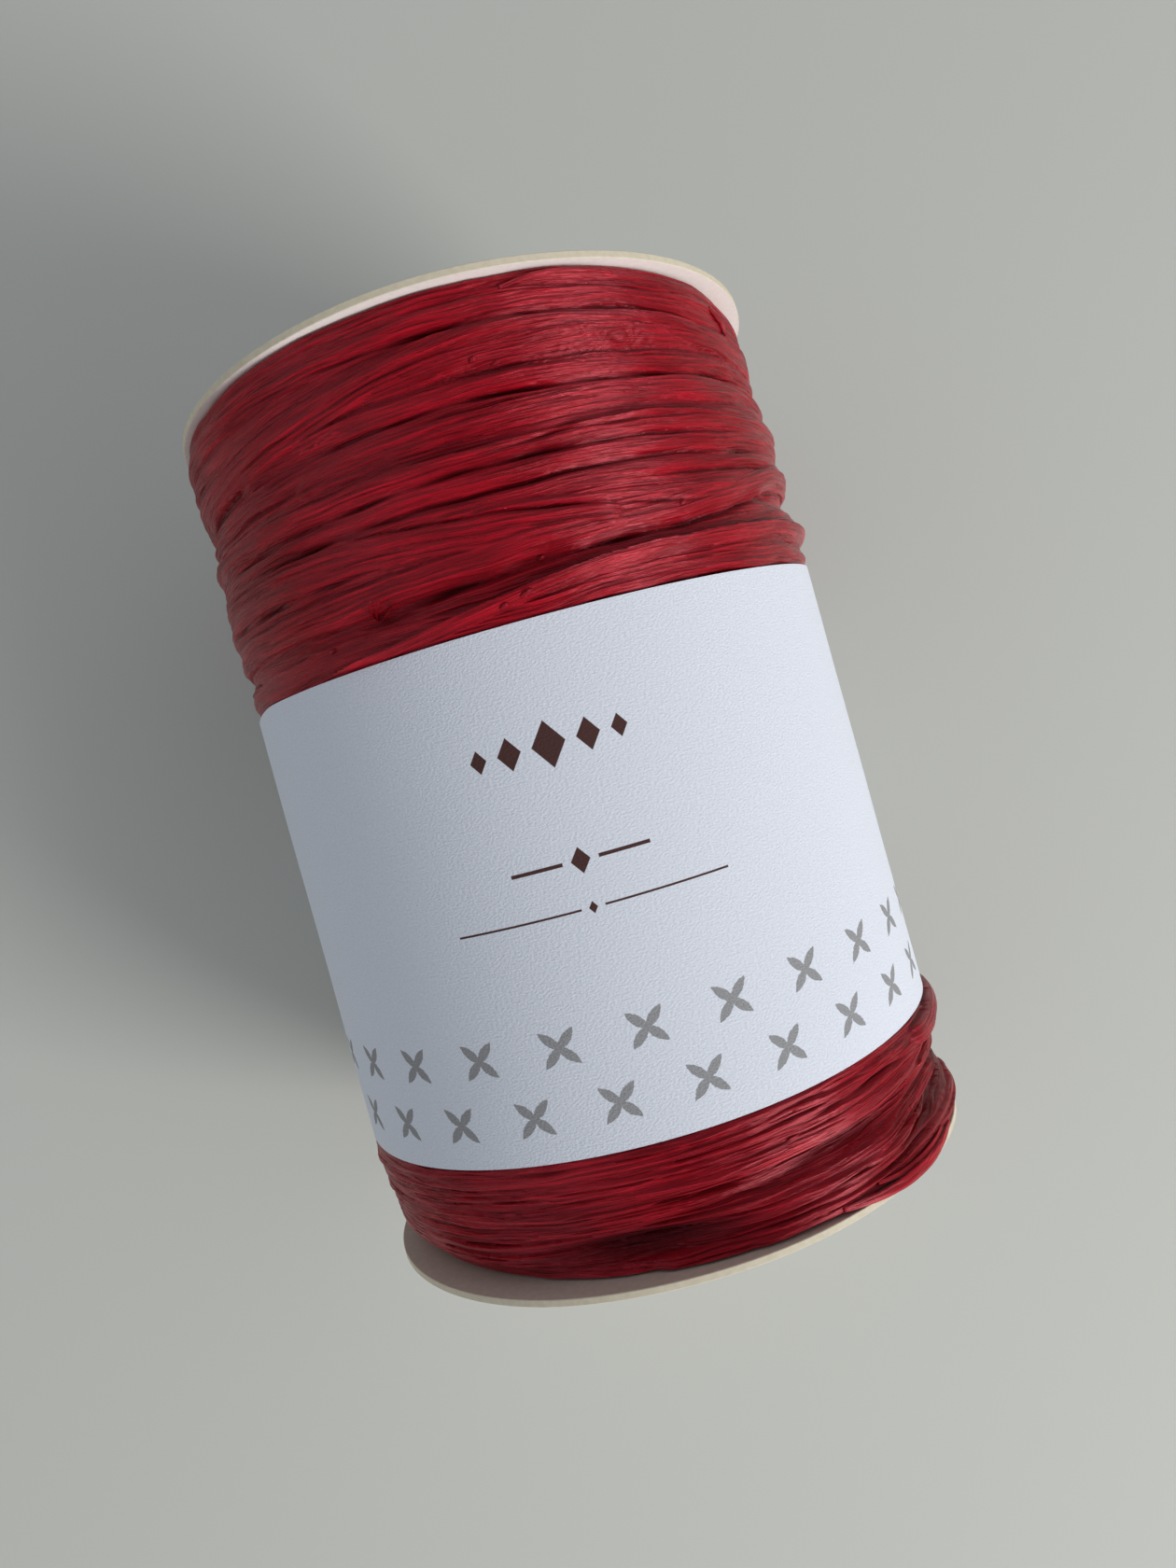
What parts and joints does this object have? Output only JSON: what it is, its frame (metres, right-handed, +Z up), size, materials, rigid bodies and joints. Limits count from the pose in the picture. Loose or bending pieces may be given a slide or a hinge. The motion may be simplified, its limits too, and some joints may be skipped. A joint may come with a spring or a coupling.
{
  "type": "spool of paper raffia ribbon",
  "caption": "Crinkled paper raffia wound on a spool between two thin card discs, with a paper label round the middle, lying on its side.",
  "frame": {"origin": "centre of the bounding box's bottom face, on the surface that the spool lies on", "axes": "+Z is up, and Y runs along the spool's axis, with the disc at the picture's upper end at +Y and the label's print facing up"},
  "size_m": [0.0807, 0.1116, 0.0796],
  "materials": {
    "raffia": "deep red crinkled paper ribbon with a satin lustre along its fibres",
    "card": "white-faced card, matt, with a tan cut edge",
    "label_paper": "uncoated white paper with a felt texture and grey print"
  },
  "bodies": {
    "root": {"winding": "raffia", "disc_upper": "card", "disc_lower": "card", "label_band": "label_paper"}
  },
  "joints": []
}
